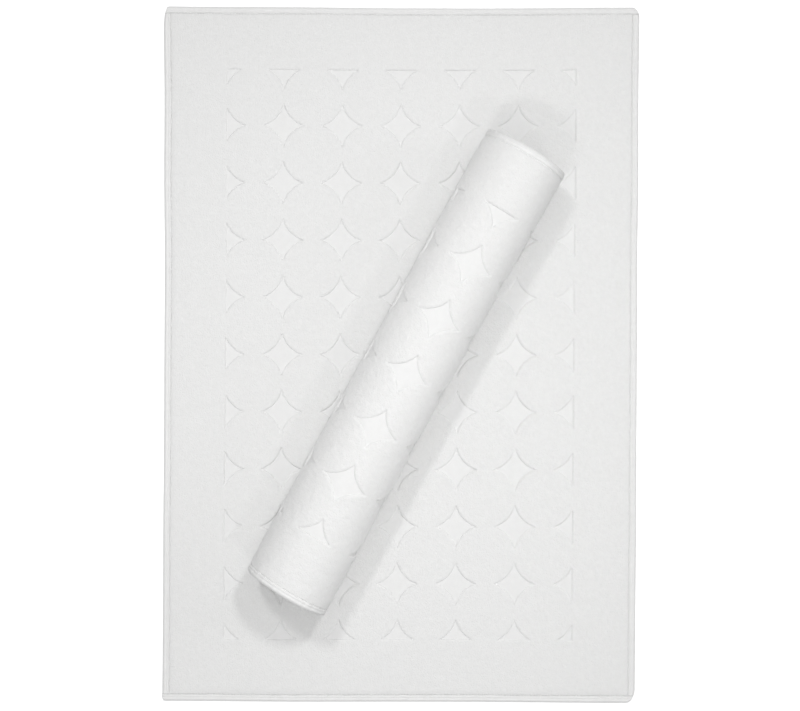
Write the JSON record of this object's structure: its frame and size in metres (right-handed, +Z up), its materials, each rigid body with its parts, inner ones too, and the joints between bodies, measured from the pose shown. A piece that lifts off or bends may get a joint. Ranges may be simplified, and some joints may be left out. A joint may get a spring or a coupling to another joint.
{
  "type": "bath mat",
  "caption": "Hemmed terry cotton bath mat with a woven pattern of overlapping circles, lying flat, with a second mat like it rolled up and laid across it.",
  "frame": {"origin": "centre of the flat mat's underside, on the floor", "axes": "+Z up, +Y along the flat mat's length, +X across its width"},
  "size_m": [0.515, 0.755, 0.0981],
  "materials": {
    "terry_pile": "white looped terry pile, matt and soft",
    "ground_weave": "plain cotton ground cloth",
    "flat_weave": "smooth flat-woven cotton",
    "hem_cloth": "folded plain-woven cotton hem",
    "thread": "white cotton sewing thread"
  },
  "bodies": {
    "flat_mat": {"mat_ground_weave": "ground_weave", "mat_back_pile": "terry_pile", "mat_face_pile": "terry_pile", "mat_cell_weave": "flat_weave", "mat_hem_left": "hem_cloth", "mat_hem_right": "hem_cloth", "mat_hem_top": "hem_cloth", "mat_hem_bottom": "hem_cloth", "mat_stitch_left": "thread", "mat_stitch_right": "thread", "mat_stitch_top": "thread", "mat_stitch_bottom": "thread"},
    "rolled_mat": {"roll_ground_weave": "ground_weave", "roll_back_pile": "terry_pile", "roll_face_pile": "terry_pile", "roll_cell_weave": "flat_weave", "roll_hem_near": "hem_cloth", "roll_hem_far": "hem_cloth", "roll_hem_tail": "hem_cloth", "roll_hem_core": "hem_cloth", "roll_stitch_near": "thread", "roll_stitch_far": "thread", "roll_stitch_tail": "thread", "roll_stitch_core": "thread"}
  },
  "joints": [
    {"name": "roll_lift", "type": "slide", "parent": "flat_mat", "child": "rolled_mat", "axis": [0, 0, 1], "range_m": [0, 0.2]}
  ]
}
